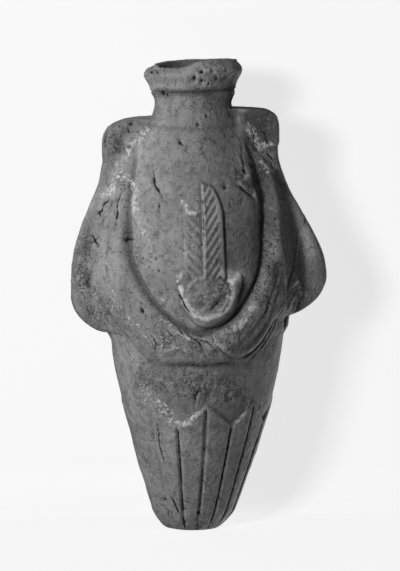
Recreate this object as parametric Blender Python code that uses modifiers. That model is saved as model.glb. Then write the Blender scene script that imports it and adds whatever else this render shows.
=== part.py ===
"""A moulded clay flask: a hollow turned body with a lug and a wing on each side, carved in relief.

Metres, +Z up. The flat underside lies at z = 0 with its centre at the origin. The carved front faces -Y.
An azimuth is counted from the front, and grows towards +X.
"""

import math

import bpy
import numpy as np

MM = 0.001

# Sizes of the turned body
HEIGHT = 160 * MM  # crest of the lip, on the axis
BASE_RADIUS = 8.8 * MM  # flat underside
HEEL_RADIUS = 14.1 * MM
HEEL_HEIGHT = 6.2 * MM
HEEL_ROUNDNESS = 0.6
BELLY_RADIUS = 30.5 * MM
NECK_RADIUS = 13 * MM
NECK_LENGTH = 13 * MM  # from the root of the neck to the crest of the lip
SHOULDER_FULLNESS = 2.15
LIP_RADIUS = 16.7 * MM
LIP_DEPTH = 9.4 * MM
LIP_ROUNDING = 3.3 * MM  # depth of the rounded crest
LIP_TILT = 0.045  # rise of the lip for each unit towards +X
LIP_STEP = 0.34  # share of the lip's overhang that its lower edge stands out in one step
LIP_GUSSET = 1 * MM  # the neck flares this much further on both sides, just under the lip
LIP_GUSSET_WIDTH = 4.4 * MM
RIM_RAISE = 1.3 * MM  # the worn crest stands higher over one stretch of its front
RIM_RAISED = (-5, 58)  # degrees
RIM_DIP = 0.9 * MM  # and lower over the next
RIM_DIPPED = (-78, -18)
RIM_SQUARE = 0.55  # share of the crest's rounding that is missing at the right
RIM_SQUARED = (55, 125)
RIM_FADE = 30  # degrees that each of these stretches takes to fade
WALL = 4 * MM
FLOOR = 6.5 * MM  # clay under the hollow
MOUTH_FLARE = 1.8 * MM  # how much wider the bore is at the crest than at the root of the neck
BOW = 1.3 * MM  # the body leans out to +X by this much between its heel and its neck
NECK_HEIGHT = HEIGHT - NECK_LENGTH

# Places on the body are shares of its height: UP is a millimetre on a vessel 160 mm high.
UP = HEIGHT / 160
BELLY_HEIGHT = 82 * UP

# Each side, seen from the front. The wing projects from the belly, the waist and the lug from the neck.
SIDES = {
    "left": {
        "direction": -1,
        "wing_projection": 12.4 * MM,
        "tail_bottom": 64.2 * UP,
        "wing_bottom": 68.2 * UP,
        "wing_widest": 80.4 * UP,
        "wing_roundness": 1.8,
        "wing_fullness": 1.45,
        "waist_projection": 17.6 * MM,
        "waist_height": 126 * UP,
        "lug_projection": 18.4 * MM,
        "lug_height": 130 * UP,
        "lug_top": 141.3 * UP,
        "lug_squareness": 3.1,
    },
    "right": {
        "direction": 1,
        "wing_projection": 14 * MM,
        "tail_bottom": 66.2 * UP,
        "wing_bottom": 73.8 * UP,
        "wing_widest": 86.6 * UP,
        "wing_roundness": 1.65,
        "wing_fullness": 1.0,
        "waist_projection": 15.6 * MM,
        "waist_height": 131 * UP,
        "lug_projection": 16.2 * MM,
        "lug_height": 133 * UP,
        "lug_top": 144.2 * UP,
        "lug_squareness": 5.5,
    },
}
WING_THICKNESS = 15 * MM
LUG_THICKNESS = 14 * MM
EDGE_FLATNESS = 12  # how flat the edge of a side stays within its thickness
FLANK_STEEPNESS = 3.5  # how steeply a wing falls off towards the back
WEB_STEEPNESS = 1.7  # and towards the arms of the garland, which it meets in a soft web
WEB_SPAN = (40, 54)  # degrees
TAIL_PROJECTION = 1.2 * MM  # low ledge that runs on below a wing
TAIL_RISE = 4 * UP

# Garland: a roll that hangs from lug to lug across the front
GARLAND_AZIMUTH = -4.0  # degrees
GARLAND_SPREAD = 50.0  # degrees from its middle to the inner edge of an arm
GARLAND_FLARE_LEFT = 10.0  # degrees that the arms part further on their way up to the lugs
GARLAND_FLARE_RIGHT = 11.0
GARLAND_FLARE_RISE = 26 * UP
GARLAND_BEND = 98 * UP  # height where the arms turn inwards
GARLAND_ROUNDNESS_LEFT = 1.5  # 1 would give a plain V, and 2 an oval
GARLAND_ROUNDNESS_RIGHT = 1.65
GARLAND_INNER = 69.8 * UP
GARLAND_OUTER = 60 * UP
GARLAND_WIDTH = 0.66  # of its inner outline
ARM_WIDTH = 0.15  # the same, for the strap that the right arm narrows to
ARM_NARROWS = (68 * UP, 106 * UP)
ARM_SIDE = (10, 40)  # degrees over which that narrowing sets in
GARLAND_HEIGHT = 2.4 * MM
GARLAND_GROOVE = 1.6 * MM
GROOVE_PLACE = 0.965  # of its inner outline, as are the next two
GROOVE_WIDTH = 0.05
HOLLOW_WIDTH = 0.16
HOLLOW_DEPTH = 0.9 * MM  # the ground sinks this much towards the right arm
HOLLOW_SIDE = (-4, 24)  # degrees over which it sets in
WORN_EDGE = 11 * UP  # height of the lower edge's left end, which is rubbed to a slope
FIRM_EDGE = 2 * UP  # the same for the rest of that edge
WORN_SIDE = (24, 44)  # degrees to the left over which the slope sets in
GARLAND_STRANDS = 6
STRAND_DEPTH = 0.6 * MM
STRANDS_SIDE = (8, 34)  # degrees over which the strands set in
STRANDS_ACROSS = (0.2, 0.4)  # and shares of the roll
STRANDS_FADE = (84 * UP, 96 * UP)
ARM_FADES = (122 * UP, 134 * UP)  # the arms sink into the lugs between these heights

# The right arm ends in a tongue over the left one. Its edge is a parabola with its foot at the right.
TONGUE_AZIMUTH = 21.0  # degrees
TONGUE_LEFT = 18.0  # degrees over which the edge rises by the tongue's rise, to the left and to the right
TONGUE_RIGHT = 26.0
TONGUE_FOOT = 62 * UP
TONGUE_RISE = 8.5 * UP
TONGUE_BEGINS = (-9, 13)  # degrees
TONGUE_STEP = 0.4  # share of the garland's height that is missing below the tongue
TONGUE_STEP_SIDE = (-59, 1)  # degrees over which this step sets in
TONGUE_GROOVE = 0.7 * MM

# Crown: two feathers over a disk between horns
CROWN_AZIMUTH = -1.0
FEATHER_TOP = 121.5 * UP
FEATHER_FOOT = 90 * UP
FEATHER_WIDTH = 7.2 * MM
FEATHER_SPLAY = 0.05  # how much wider the right feather, and narrower the left one, is at the foot
FEATHER_HEIGHT = 1.5 * MM
FEATHER_WEAR = 0.75  # share of its height that the left feather has lost
FEATHER_GROOVE = 0.5 * MM  # outside the right feather
BARBS_WORN = (108 * UP, 116 * UP)  # the left feather's barbs are rubbed out above these heights
BARB_PITCH = 3.6 * MM
BARB_DEPTH = 0.6 * MM
BARB_SLOPE_LEFT = 1.05
BARB_SLOPE_RIGHT = 1.55
RIB_WIDTH = 0.9 * MM
RIB_RISE = 0.3 * MM
RIB_GROOVE = 0.55 * MM  # to the left of the rib
DISK_PLACE = 83.6 * UP
DISK_RADIUS = 7 * MM
DISK_WIDENING = 1.1
DISK_SHIFT = 1.15 * MM  # to the right of the feathers' rib
DISK_RISE = 1.0 * MM
HORN_WIDTH = 4.4 * MM
HORN_RISE = 2.2 * MM
HORN_FLARE = 2.4 * MM  # the right horn is this much wider at its tip
HORN_GROOVE = 0.9 * MM  # outside the thin left horn
HORN_LEFT_TIP = -115  # degrees from straight down
HORN_RIGHT_TIP = 128

# Ribbon ends, one on each side of the crown: a blunt end by the garland, and a point towards the front
RIBBON_ROOT = 45.0  # degrees
RIBBON_LENGTH = 21.6  # degrees
RIBBON_ROOT_HEIGHTS = (112.5 * UP, 125.3 * UP)
RIBBON_POINT_HEIGHTS = (121.3 * UP, 120.9 * UP)
RIBBON_HEIGHT = 1.2 * MM
RIBBON_LEFT_SHIFT = 10.0  # degrees that the left one lies further out
RIBBON_LEFT_WEAR = 0.6
RIBBON_STRIP = (36.0, 54.0)  # degrees: a strip runs up from each ribbon end to the lug
RIBBON_STRIP_TOP = 133 * UP
RIBBON_STRIP_FADE = 8 * UP
RIBBON_STRIP_HEIGHT = 0.6 * MM

# Calyx of pointed leaves round the lower body
LEAF_VALLEYS = (-66.0, -21.0, 24.0, 62.0, 110.0, 158.0, 203.0, 249.0)  # degrees
LEAF_TIP = 45.6 * UP
LEAF_VALLEY = 38 * UP
LEAF_RAISE = 0.45 * MM
LEAF_SINK = 0.45 * MM  # the ground just above the leaves
LEAF_WORN_LEFT = (-34, -24)  # degrees: the leaves are rubbed down past these, to the left and to the right
LEAF_WORN_RIGHT = (64, 80)
LEAF_WEAR = 0.6
LEAF_FADE = 12 * UP
LEAF_GROOVE = 1 * MM
LEAF_GROOVE_WIDTH = 1.1 * MM

# Groove round the root of the neck
COLLAR_PLACE = 138.6 * UP
COLLAR_GROOVE = 0.4 * MM
COLLAR_WIDTH = 1.8 * MM

# Fineness of the mesh
COLUMNS = 240
CROWDING = 0.5  # how much closer the columns stand on the front than on average
ROW = 0.6 * MM
OUTER_TRIANGLES = 7700
HOLLOW_TRIANGLES = 1200


def ease(low, high, value):
    """A smooth step from 0 at low to 1 at high."""
    t = np.clip((value - low) / (high - low), 0, 1)
    return t * t * (3 - 2 * t)


def bell(middle, width, value):
    """A bump of height 1 that has all but gone two widths from its middle."""
    return np.exp(-(((value - middle) / width) ** 2))


def between(span, fade, value):
    """1 inside a stretch and 0 outside it, with soft ends."""
    first, last = span
    ended = ease(last - fade / 2, last + fade / 2, value)
    return ease(first - fade / 2, first + fade / 2, value) * (1 - ended)


def trunk_radius(z):
    """Outer radius of the turned body at height z, without its lip."""
    heel = np.clip(z / HEEL_HEIGHT, 0, 1) ** HEEL_ROUNDNESS
    rise = np.clip((z - HEEL_HEIGHT) / (BELLY_HEIGHT - HEEL_HEIGHT), 0, 1)
    climb = np.clip((z - BELLY_HEIGHT) / (NECK_HEIGHT - BELLY_HEIGHT), 0, 1)
    radius = BASE_RADIUS + (HEEL_RADIUS - BASE_RADIUS) * heel
    radius += (BELLY_RADIUS - HEEL_RADIUS) * np.sin(rise * math.pi / 2)
    return radius - (BELLY_RADIUS - NECK_RADIUS) * np.sin(climb**SHOULDER_FULLNESS * math.pi / 2) ** 2


def crest_rounding(z):
    """How much of the lip's overhang its rounded crest takes away again."""
    return 1.2 * np.clip((z - (HEIGHT - LIP_ROUNDING)) / LIP_ROUNDING, 0, 1) ** 1.8


def lip_overhang(z):
    """How far the lip stands out from the neck: a small step, then a thick roll with a rounded crest."""
    share = np.clip((z - (HEIGHT - LIP_DEPTH)) / LIP_DEPTH, 0, 1)
    step = LIP_STEP * ease(-0.1, 0.14, share)
    roll = (1 - LIP_STEP) * ease(-0.08, 0.62, share)
    return (LIP_RADIUS - NECK_RADIUS) * np.where(share > 0, step + roll - crest_rounding(z), 0)


def body_radius(z):
    return trunk_radius(z) + lip_overhang(z)


def hollow_radius(z):
    """Radius of the hollow: the trunk less its wall, rounded off at the floor and flared at the mouth."""
    bowl = np.clip((z - FLOOR) / (2 * WALL), 0, 1)
    inside = (trunk_radius(z) - WALL) * np.sqrt(1 - (1 - bowl) ** 2)
    return inside + MOUTH_FLARE * ease(NECK_HEIGHT, HEIGHT, z)


def lip_wear(azimuth, z):
    """What the worn lip adds to the radius and to the height of the turned one."""
    degrees = np.degrees(azimuth)
    gusset = LIP_GUSSET * bell(HEIGHT - LIP_DEPTH, LIP_GUSSET_WIDTH / 2, z) * np.sin(azimuth) ** 2
    squared = RIM_SQUARE * between(RIM_SQUARED, RIM_FADE, degrees) * crest_rounding(z)
    outward = gusset + squared * (LIP_RADIUS - NECK_RADIUS)
    wave = RIM_RAISE * between(RIM_RAISED, RIM_FADE, degrees)
    wave -= RIM_DIP * between(RIM_DIPPED, RIM_FADE, degrees)
    return outward, wave * ease(HEIGHT - LIP_ROUNDING, HEIGHT, z)


def turned_profile():
    """Points (radius, height) from the middle of the hollow's floor, over the lip and down to the base."""
    mouth_edge = HEIGHT - LIP_ROUNDING / 3
    inner = np.linspace(FLOOR, mouth_edge, round(HEIGHT / ROW / 2.5))
    outer = np.linspace(HEIGHT, 0, round(HEIGHT / ROW))
    crest_radius = (hollow_radius(HEIGHT) + body_radius(HEIGHT)) / 2
    return [
        *zip(hollow_radius(inner), inner),
        (crest_radius, (HEIGHT + mouth_edge) / 2),
        *zip(body_radius(outer), outer),
        (0, 0),
    ]


def side_outline(side, z):
    """Reach and height of the side's edge for the body's ring at height z.

    From below: a low ledge, a rounded lower end, a long taper up to the waist, then the squared lug.
    """
    wing_reach = BELLY_RADIUS + side["wing_projection"]
    waist_reach = NECK_RADIUS + side["waist_projection"]
    lug_reach = NECK_RADIUS + side["lug_projection"]
    body = body_radius(z)
    ledge = body + TAIL_PROJECTION * ease(side["tail_bottom"], side["tail_bottom"] + TAIL_RISE, z)
    below = np.clip((side["wing_widest"] - z) / (side["wing_widest"] - side["wing_bottom"]), 0, 1)
    roundness = side["wing_roundness"]
    lower = ledge + (wing_reach - ledge) * (1 - below**roundness) ** (1 / roundness)
    above = np.clip((z - side["wing_widest"]) / (side["waist_height"] - side["wing_widest"]), 0, 1)
    taper = 0.5 + 0.5 * np.cos(math.pi * above ** side["wing_fullness"])
    upper = waist_reach + (wing_reach - waist_reach) * taper
    upper += (lug_reach - waist_reach) * ease(side["waist_height"], side["lug_height"], z)
    turn = np.clip((z - side["lug_height"]) / (side["lug_top"] - side["lug_height"]), 0, 1) * math.pi / 2
    power = 2 / side["lug_squareness"]
    square = NECK_RADIUS + side["lug_projection"] * np.cos(turn) ** power
    corner = side["lug_height"] + (side["lug_top"] - side["lug_height"]) * np.sin(turn) ** power
    reach = np.where(z < side["wing_widest"], lower, np.where(turn > 0, square, upper))
    height = np.where((turn > 0) & (z < side["lug_top"]), corner, z)
    return np.maximum(reach, body), height


def side_weight(side, azimuth, z, reach):
    """How far each point of a ring goes over to the side's edge: 1 on the edge, 0 on the front and back."""
    lug = ease(side["waist_height"] - WING_THICKNESS, side["waist_height"], z)
    half = (WING_THICKNESS + (LUG_THICKNESS - WING_THICKNESS) * lug) / 2
    spread = np.arcsin(np.clip(2 * half / (body_radius(z) + reach), 0, 0.9))
    turn = np.abs((azimuth - side["direction"] * math.pi / 2 + math.pi) % (2 * math.pi) - math.pi) / spread
    from_front = np.abs(np.degrees(azimuth))
    web = (1 - lug) * ease(*WEB_SPAN, from_front) * (from_front < 90)
    steepness = FLANK_STEEPNESS + lug + (WEB_STEEPNESS - FLANK_STEEPNESS) * web
    return 1 / (1 + turn ** np.where(turn < 1, EDGE_FLATNESS, steepness))


def over_tongue_edge(degrees, z):
    """How far above the edge of the tongue each point is."""
    along = degrees - TONGUE_AZIMUTH
    half = np.where(along < 0, TONGUE_LEFT, TONGUE_RIGHT)
    return z - TONGUE_FOOT - TONGUE_RISE * (along / half) ** 2


def garland(azimuth, z):
    """A roll between two edges: a rounded V that runs up into straight arms, with a groove inside it."""
    degrees = np.degrees(azimuth)
    right = degrees > GARLAND_AZIMUTH
    parting = np.clip((z - GARLAND_BEND) / GARLAND_FLARE_RISE, 0, 1.25)
    flare = np.where(right, GARLAND_FLARE_RIGHT * parting**1.3, GARLAND_FLARE_LEFT * parting**2)
    across = np.abs(degrees - GARLAND_AZIMUTH) / (GARLAND_SPREAD + flare)
    down = np.clip(GARLAND_BEND - z, 0, None) / (GARLAND_BEND - GARLAND_INNER)
    roundness = np.where(right, GARLAND_ROUNDNESS_RIGHT, GARLAND_ROUNDNESS_LEFT)
    ring = (across**roundness + down**roundness) ** (1 / roundness)
    narrow = ease(*ARM_NARROWS, z) * ease(*ARM_SIDE, degrees)
    share = np.clip((ring - 1) / (GARLAND_WIDTH + (ARM_WIDTH - GARLAND_WIDTH) * narrow), 0, 1)
    roll = np.sin(math.pi * share**0.8) ** 0.6
    over_edge = over_tongue_edge(degrees, z)
    here = ease(*TONGUE_BEGINS, degrees)
    step = TONGUE_STEP * (1 - ease(-0.5 * MM, 0.5 * MM, over_edge) * here) * ease(*TONGUE_STEP_SIDE, degrees)
    edge_groove = TONGUE_GROOVE * bell(0, 0.5 * MM, over_edge) * here * (ring > 1)
    plaited = ease(*STRANDS_SIDE, degrees) * (1 - ease(*STRANDS_FADE, z)) * ease(*STRANDS_ACROSS, share)
    furrows = np.abs(np.sin(math.pi * GARLAND_STRANDS * share)) ** 0.6 * ease(0, 0.1, 1 - share)
    slope = FIRM_EDGE + (WORN_EDGE - FIRM_EDGE) * ease(*WORN_SIDE, -degrees)
    lower_edge = ease(GARLAND_OUTER - 0.3 * slope, GARLAND_OUTER + 0.7 * slope, z)
    sunk = bell(GROOVE_PLACE, HOLLOW_WIDTH, np.minimum(ring, GROOVE_PLACE)) * (ring < 1)
    ground = GARLAND_GROOVE * bell(GROOVE_PLACE, GROOVE_WIDTH, ring)
    ground += HOLLOW_DEPTH * sunk * ease(*HOLLOW_SIDE, degrees)
    height = GARLAND_HEIGHT * roll * (1 - step) - STRAND_DEPTH * furrows * plaited - edge_groove
    front = 1 - ease(80, 92, np.abs(degrees))
    return front * (1 - ease(*ARM_FADES, z)) * (height * lower_edge - ground)


def feathers(across, z):
    """Two tall feathers side by side, with a rib between them and barbs that run down to it."""
    side = np.abs(across)
    right = across >= 0
    round_top = np.clip((z - (FEATHER_TOP - 1.5 * FEATHER_WIDTH)) / (1.5 * FEATHER_WIDTH), 0, 1)
    splay = 1 + FEATHER_SPLAY * (FEATHER_TOP - z) / (FEATHER_TOP - FEATHER_FOOT) * np.sign(across)
    half = FEATHER_WIDTH * splay * np.sqrt(1 - 0.85 * round_top**2)
    inside = ease(0, 0.9 * MM, half - side) * ease(0, 1 * MM, FEATHER_TOP - z - 0.25 * side)
    inside *= ease(FEATHER_FOOT - 2 * MM, FEATHER_FOOT, z)
    worn = np.where(right, 1, 1 - FEATHER_WEAR)
    cut = np.where(right, 1, 0.8 - 0.7 * ease(*BARBS_WORN, z))
    slope = np.where(right, BARB_SLOPE_RIGHT, BARB_SLOPE_LEFT)
    wave = (0.5 - 0.5 * np.cos(2 * math.pi * (z - slope * side) / BARB_PITCH)) ** 2
    barbs = BARB_DEPTH * wave * ease(RIB_WIDTH, 1.7 * RIB_WIDTH, side) * (1 - ease(0.62, 0.78, side / half))
    rib = RIB_RISE * bell(RIB_WIDTH / 2, RIB_WIDTH / 2, across)
    rib -= RIB_GROOVE * bell(-RIB_WIDTH / 2, 0.4 * RIB_WIDTH, across)
    beside = bell(half + 0.9 * MM, 0.9 * MM, across) * ease(FEATHER_FOOT, FEATHER_FOOT + 8 * UP, z)
    beside *= 1 - ease(FEATHER_TOP - 4 * UP, FEATHER_TOP, z)
    return inside * (worn * FEATHER_HEIGHT - cut * barbs + rib) - FEATHER_GROOVE * beside


def disk_and_horns(across, z):
    """A low disk in a crescent that is thick to the right, and thin with a groove beside it to the left."""
    up = z - DISK_PLACE
    from_middle = np.hypot(across / DISK_WIDENING, up)
    disk = DISK_RISE * (1 - ease(DISK_RADIUS - 0.6 * MM, DISK_RADIUS + 0.4 * MM, from_middle))
    bearing = np.degrees(np.arctan2(across, -up))  # 0 below the disk, and grows towards +X
    flare = HORN_FLARE * ease(80, 125, bearing)
    thickening = ease(-60, 10, bearing)
    width = HORN_WIDTH * (0.35 + 0.65 * thickening) * (1 - 0.4 * ease(30, 100, bearing)) + flare
    share = np.clip((from_middle - DISK_RADIUS - 0.4 * flare) / width, 0, 1)
    left_tip = ease(HORN_LEFT_TIP, HORN_LEFT_TIP + 20, bearing)
    right_tip = 1 - ease(HORN_RIGHT_TIP - 13, HORN_RIGHT_TIP, bearing)
    crescent = HORN_RISE * (0.6 + 0.4 * thickening) * np.sqrt(1 - share**2) * ease(0, 0.25, share)
    beside_left = (1 - ease(-50, -10, bearing)) * left_tip
    groove = HORN_GROOVE * bell(DISK_RADIUS + 0.45 * HORN_WIDTH, 0.6 * MM, from_middle) * beside_left
    return np.maximum(disk, crescent * left_tip * right_tip) - groove


def crown(azimuth, z):
    """The feathers, disk and horns together, each hiding what lies under it."""
    across = (azimuth - math.radians(CROWN_AZIMUTH)) * BELLY_RADIUS
    front = np.abs(across) < BELLY_RADIUS
    return np.where(front, np.maximum(feathers(across, z), disk_and_horns(across - DISK_SHIFT, z)), 0)


def ribbon(degrees, z):
    """The right ribbon end beside the crown, and the strip above it."""
    inward = RIBBON_ROOT - degrees
    share = inward / RIBBON_LENGTH
    edges = zip(RIBBON_ROOT_HEIGHTS, RIBBON_POINT_HEIGHTS)
    bottom, top = (root + (point - root) * share for root, point in edges)
    inside = ease(0, 0.9 * MM, z - bottom) * ease(0, 1.2 * MM, top - z)
    triangle = RIBBON_HEIGHT * inside * ease(0, 5, inward) * ease(1, 0.93, share)
    foot = RIBBON_ROOT_HEIGHTS[1] - RIBBON_STRIP_FADE / 2
    strip = between(RIBBON_STRIP, 4, degrees) * ease(foot, foot + 3 * UP, z)
    strip *= 1 - ease(RIBBON_STRIP_TOP - RIBBON_STRIP_FADE, RIBBON_STRIP_TOP, z)
    return np.maximum(triangle, RIBBON_STRIP_HEIGHT * strip)


def calyx(azimuth, z):
    """Pointed leaves: the ground sinks above their zigzag edge, and grooves run between and down them."""
    valleys = np.array([*LEAF_VALLEYS, LEAF_VALLEYS[0] + 360])
    degrees = (np.degrees(azimuth) - valleys[0]) % 360 + valleys[0]
    place = np.interp(degrees, valleys, np.arange(len(valleys)))
    number = np.minimum(np.floor(place), len(LEAF_VALLEYS) - 1).astype(int)
    off = np.abs(place - number - 0.5)  # 0 on the midrib, 0.5 on the valley
    above = z - (LEAF_TIP + (LEAF_VALLEY - LEAF_TIP) * (2 * off) ** 0.9)
    leaf = LEAF_RAISE * (1 - ease(-0.5 * MM, 0.5 * MM, above))
    ground = LEAF_SINK * ease(-0.5 * MM, 0.5 * MM, above) * (1 - ease(0, LEAF_FADE, above))
    across = np.radians(np.diff(valleys))[number] * body_radius(z)
    valley = bell(0, LEAF_GROOVE_WIDTH / 2, (0.5 - off) * across)
    midrib = bell(0, LEAF_GROOVE_WIDTH / 2, off * across)
    grooves = LEAF_GROOVE * (valley + 0.7 * midrib) * ease(0, 2 * MM, -above)
    turn = np.degrees(azimuth)
    crisp = 1 - LEAF_WEAR * (1 - ease(*LEAF_WORN_LEFT, turn) * (1 - ease(*LEAF_WORN_RIGHT, turn)))
    return crisp * ((leaf - grooves) * ease(HEEL_HEIGHT / 8, HEEL_HEIGHT, z) - ground)


def relief(azimuth, z):
    """Height of all the carving over the plain body."""
    height = garland(azimuth, z) + crown(azimuth, z) + calyx(azimuth, z)
    degrees = np.degrees(azimuth)
    height += ribbon(degrees, z) + (1 - RIBBON_LEFT_WEAR) * ribbon(-degrees - RIBBON_LEFT_SHIFT, z)
    return height - COLLAR_GROOVE * bell(COLLAR_PLACE, COLLAR_WIDTH / 2, z)


def carve(points):
    """Move the turned vessel's points: wings, lugs and relief on the outside, bow and tilt on all of it."""
    x, y, z = points.T
    radius = np.hypot(x, y)
    azimuth = np.arctan2(x, -y)
    azimuth -= CROWDING * np.sin(azimuth)
    outside = (radius > body_radius(z) - WALL / 4) & (z > 0)
    lip_outward, lip_upward = lip_wear(azimuth, z)
    new_radius = radius + outside * (relief(azimuth, z) + lip_outward)
    new_z = z.copy()
    for side in SIDES.values():
        reach, height = side_outline(side, z)
        weight = side_weight(side, azimuth, z, reach) * outside
        new_radius += weight * (reach - body_radius(z))
        new_z += weight * (height - z)
    climb = np.clip((z - HEEL_HEIGHT / 2) / (NECK_HEIGHT - HEEL_HEIGHT / 2), 0, 1)
    lean = BOW * np.sin(math.pi * climb**0.75)
    new_x = new_radius * np.sin(azimuth) + lean
    new_z += LIP_TILT * new_x * ease(NECK_HEIGHT, HEIGHT - LIP_DEPTH / 2, z)
    new_z += lip_upward
    return np.column_stack([new_x, -new_radius * np.cos(azimuth), new_z])


def mesh_points(mesh):
    flat = np.empty(3 * len(mesh.vertices))
    mesh.vertices.foreach_get("co", flat)
    return flat.reshape(-1, 3)


def set_mesh_points(mesh, points):
    mesh.vertices.foreach_set("co", points.astype(np.float32).ravel())
    mesh.update()


def evaluated_mesh(thing):
    """The mesh of an object with its modifiers worked in, as a new mesh."""
    graph = bpy.context.evaluated_depsgraph_get()
    return bpy.data.meshes.new_from_object(thing.evaluated_get(graph))


def clay():
    material = bpy.data.materials.new("clay")
    material.use_nodes = True
    shader = material.node_tree.nodes["Principled BSDF"]
    shader.inputs["Base Color"].default_value = (0.30, 0.30, 0.30, 1)
    shader.inputs["Roughness"].default_value = 0.85
    shader.inputs["Metallic"].default_value = 0.0
    return material


def turn_vessel(collection):
    """The plain hollow vessel, spun from its profile."""
    profile = [(r, 0, z) for r, z in turned_profile()]
    mesh = bpy.data.meshes.new("vessel_profile")
    mesh.from_pydata(profile, [(i, i + 1) for i in range(len(profile) - 1)], [])
    vessel = bpy.data.objects.new("vessel", mesh)
    collection.objects.link(vessel)
    spin = vessel.modifiers.new("turn", "SCREW")
    spin.steps = COLUMNS
    spin.render_steps = COLUMNS
    spin.use_merge_vertices = True
    spin.merge_threshold = 0.01 * MM
    return vessel


def in_hollow(mesh):
    """For each point, whether it lies on the inside of the wall."""
    x, y, z = mesh_points(mesh).T
    return np.hypot(x, y) < (hollow_radius(z) + body_radius(z)) / 2


def triangle_corners(mesh):
    mesh.calc_loop_triangles()
    flat = np.empty(3 * len(mesh.loop_triangles), int)
    mesh.loop_triangles.foreach_get("vertices", flat)
    return flat.reshape(-1, 3)


def thin_out(vessel, chosen, triangles):
    """Drop the chosen points that the form doesn't need, until so many triangles are left between them."""
    corners = triangle_corners(vessel.data)
    surplus = chosen[corners].all(axis=1).sum() - triangles
    group = vessel.vertex_groups.new(name="thinned")
    group.add(np.nonzero(chosen)[0].tolist(), 1.0, "REPLACE")
    thin = vessel.modifiers.new("thin out", "DECIMATE")
    thin.ratio = 1 - surplus / len(corners)
    thin.vertex_group = group.name
    mesh = evaluated_mesh(vessel)
    vessel.modifiers.clear()
    vessel.vertex_groups.clear()
    vessel.data = mesh


def flatten_base(mesh):
    """Put the points of the underside back on z = 0."""
    points = mesh_points(mesh)
    points[np.abs(points[:, 2]) < 0.1 * MM, 2] = 0
    set_mesh_points(mesh, points)


def main():
    for thing in list(bpy.data.objects):
        bpy.data.objects.remove(thing, do_unlink=True)
    collection = bpy.data.collections.new("alabastron")
    bpy.context.scene.collection.children.link(collection)
    vessel = turn_vessel(collection)
    mesh = evaluated_mesh(vessel)
    vessel.modifiers.clear()
    vessel.data = mesh
    set_mesh_points(mesh, carve(mesh_points(mesh)))
    thin_out(vessel, in_hollow(vessel.data), HOLLOW_TRIANGLES)
    thin_out(vessel, ~in_hollow(vessel.data), OUTER_TRIANGLES)
    flatten_base(vessel.data)
    vessel.data.materials.append(clay())
    vessel.data.shade_smooth()


main()
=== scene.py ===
# A moulded clay flask, dressed: its carved and weathered skin, the studio round it and the camera.
# Lengths are metres in the mesh and millimetres in the values below. +Z is up and the carved front faces -Y.
# An azimuth is in degrees from the front and grows towards +X. In a pair for the two sides, left is first.
# A bump's three values are its height, middle and width, and a step's are its height, start and end.
import math

import bpy
import numpy as np
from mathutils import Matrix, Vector


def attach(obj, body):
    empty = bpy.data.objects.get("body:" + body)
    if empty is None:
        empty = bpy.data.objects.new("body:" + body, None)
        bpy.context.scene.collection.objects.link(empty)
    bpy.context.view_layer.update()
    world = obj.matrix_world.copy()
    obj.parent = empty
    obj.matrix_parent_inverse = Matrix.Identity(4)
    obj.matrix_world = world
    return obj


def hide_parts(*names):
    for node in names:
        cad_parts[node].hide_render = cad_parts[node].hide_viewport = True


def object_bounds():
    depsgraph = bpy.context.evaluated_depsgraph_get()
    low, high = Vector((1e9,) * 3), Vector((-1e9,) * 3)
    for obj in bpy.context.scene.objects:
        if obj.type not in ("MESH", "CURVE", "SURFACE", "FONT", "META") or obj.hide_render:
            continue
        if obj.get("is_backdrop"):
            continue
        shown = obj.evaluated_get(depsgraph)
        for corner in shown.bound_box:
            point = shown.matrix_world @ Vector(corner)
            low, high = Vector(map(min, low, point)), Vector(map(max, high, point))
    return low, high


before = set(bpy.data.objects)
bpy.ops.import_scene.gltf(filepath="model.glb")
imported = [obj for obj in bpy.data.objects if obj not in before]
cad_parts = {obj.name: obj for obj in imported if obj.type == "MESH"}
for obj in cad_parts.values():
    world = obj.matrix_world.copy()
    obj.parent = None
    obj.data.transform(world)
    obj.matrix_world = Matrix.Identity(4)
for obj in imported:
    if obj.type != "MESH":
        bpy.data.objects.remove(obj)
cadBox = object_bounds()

mm = 0.001
scene = bpy.context.scene

# The camera stands a little to the left of the front and a little above. What the marks below call seen
# places are millimetres to the right of the axis and above the base, in the plane that faces the camera.
view = {
    "azimuth": -6,
    "elevation": 7,
    "distance": 1600,
    "pixelsPerMm": 2.922,
    "framePixels": (400, 571),
    "axisPixel": 193,
    "basePixel": 527.3,
    "aimHeight": 82,
    "sensorWidth": 36,
    "farthest": 10000,
}


def slope(low, high, value):
    # a straight slope from 0 at low to 1 at high
    return np.clip((value - low) / (high - low), 0, 1)


def ease(low, high, value):
    # a smooth step from 0 at low to 1 at high
    t = slope(low, high, value)
    return t * t * (3 - 2 * t)


def mix(first, second, share):
    # the first value where the share is 0 and the second where it is 1
    return first + (second - first) * share


def bell(middle, width, value):
    # 1 in the middle, and all but 0 from two widths on
    return np.exp(-(((value - middle) / width) ** 2))


def bump(form, value):
    height, middle, width = form
    return height * bell(middle, width, value)


def step(form, value):
    height, start, end = form
    return height * ease(start, end, value)


def between(span, value, fade):
    # 1 inside a span and 0 outside it; each end fades over the given stretch
    half = fade / 2
    first, last = span
    return ease(first - half, first + half, value) * (1 - ease(last - half, last + half, value))


def outward(azimuth, elevation):
    # the unit vector from the flask on this bearing
    a, e = math.radians(azimuth), math.radians(elevation)
    return np.array([math.sin(a) * math.cos(e), -math.cos(a) * math.cos(e), math.sin(e)])


def viewAxes():
    # the camera's right, up and back directions
    a = math.radians(view["azimuth"])
    back = outward(view["azimuth"], view["elevation"])
    right = np.array([math.cos(a), math.sin(a), 0])
    return right, np.cross(back, right), back


# The turned body and its lip

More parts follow.
